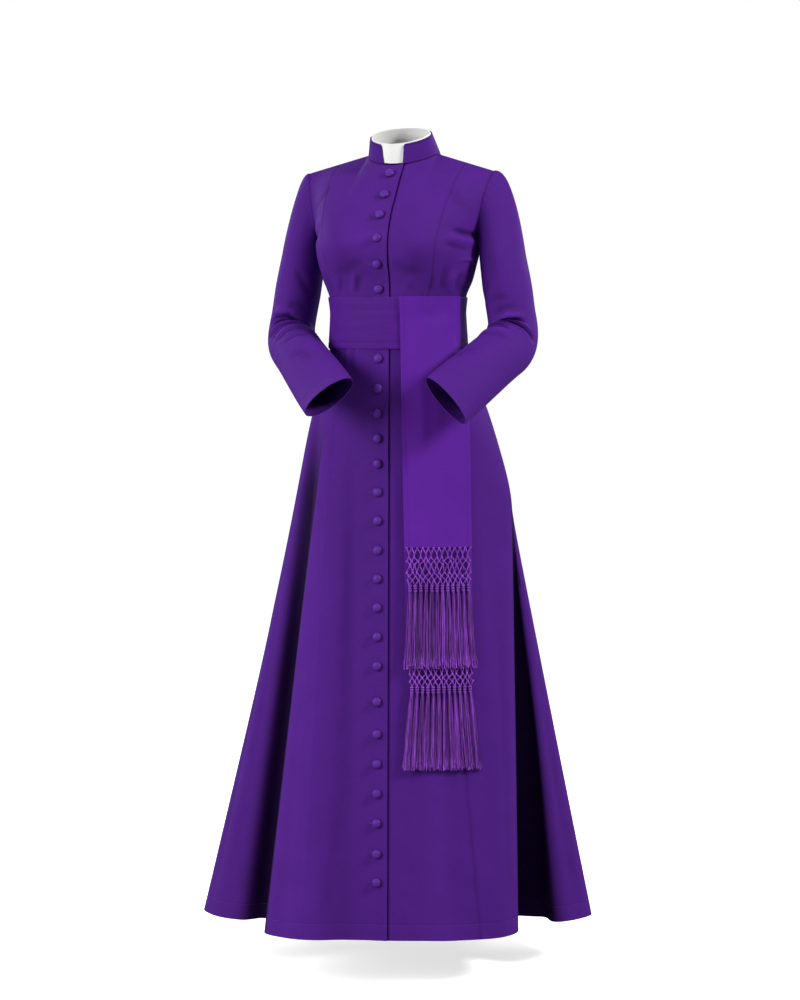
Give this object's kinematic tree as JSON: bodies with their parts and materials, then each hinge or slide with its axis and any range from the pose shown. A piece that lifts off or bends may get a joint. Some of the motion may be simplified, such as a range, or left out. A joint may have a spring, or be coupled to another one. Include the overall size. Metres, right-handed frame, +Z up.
{
  "type": "cassock with a fringed sash",
  "caption": "Long flared purple cassock with a stand collar, a buttoned front and a knotted-fringe sash, standing open as worn.",
  "frame": {"origin": "centre of the neck's base, at the height of the neck end of the shoulder seams, where the wearer's shoulders hold the garment up", "axes": "+X to the wearer's left, +Y to the wearer's back, +Z up"},
  "size_m": [0.7181, 0.7088, 1.4797],
  "materials": {
    "purple_gabardine": "smooth matt gabardine with a soft sheen",
    "purple_sash_cloth": "smooth, slightly lighter and with a little more sheen",
    "magenta_purple_thread": "twisted thread with a soft sheen",
    "white_collar_insert": "smooth, stiff and white"
  },
  "bodies": {
    "root": {"bodice_front_left": "purple_gabardine", "bodice_front_right": "purple_gabardine", "bodice_side_front_left": "purple_gabardine", "bodice_side_front_right": "purple_gabardine", "bodice_side_back_left": "purple_gabardine", "bodice_side_back_right": "purple_gabardine", "bodice_back": "purple_gabardine", "skirt_front_left": "purple_gabardine", "skirt_front_right": "purple_gabardine", "skirt_side_front_left": "purple_gabardine", "skirt_side_front_right": "purple_gabardine", "skirt_side_back_left": "purple_gabardine", "skirt_side_back_right": "purple_gabardine", "skirt_back": "purple_gabardine", "sleeve_top_left": "purple_gabardine", "sleeve_top_right": "purple_gabardine", "sleeve_under_left": "purple_gabardine", "sleeve_under_right": "purple_gabardine", "collar": "purple_gabardine", "collar_insert": "white_collar_insert", "sash_band": "purple_sash_cloth", "sash_end_upper": "purple_sash_cloth", "sash_end_lower": "purple_sash_cloth", "fringe_net_upper": "magenta_purple_thread", "fringe_net_lower": "magenta_purple_thread", "tassels_upper": "magenta_purple_thread", "tassels_lower": "magenta_purple_thread", "button_01": "purple_gabardine", "button_02": "purple_gabardine", "button_03": "purple_gabardine", "button_04": "purple_gabardine", "button_05": "purple_gabardine", "button_06": "purple_gabardine", "button_07": "purple_gabardine", "button_08": "purple_gabardine", "button_09": "purple_gabardine", "button_10": "purple_gabardine", "button_11": "purple_gabardine", "button_12": "purple_gabardine", "button_13": "purple_gabardine", "button_14": "purple_gabardine", "button_15": "purple_gabardine", "button_16": "purple_gabardine", "button_17": "purple_gabardine", "button_18": "purple_gabardine", "button_19": "purple_gabardine", "button_20": "purple_gabardine", "button_21": "purple_gabardine", "button_22": "purple_gabardine", "button_23": "purple_gabardine", "button_24": "purple_gabardine", "button_25": "purple_gabardine"}
  },
  "joints": []
}
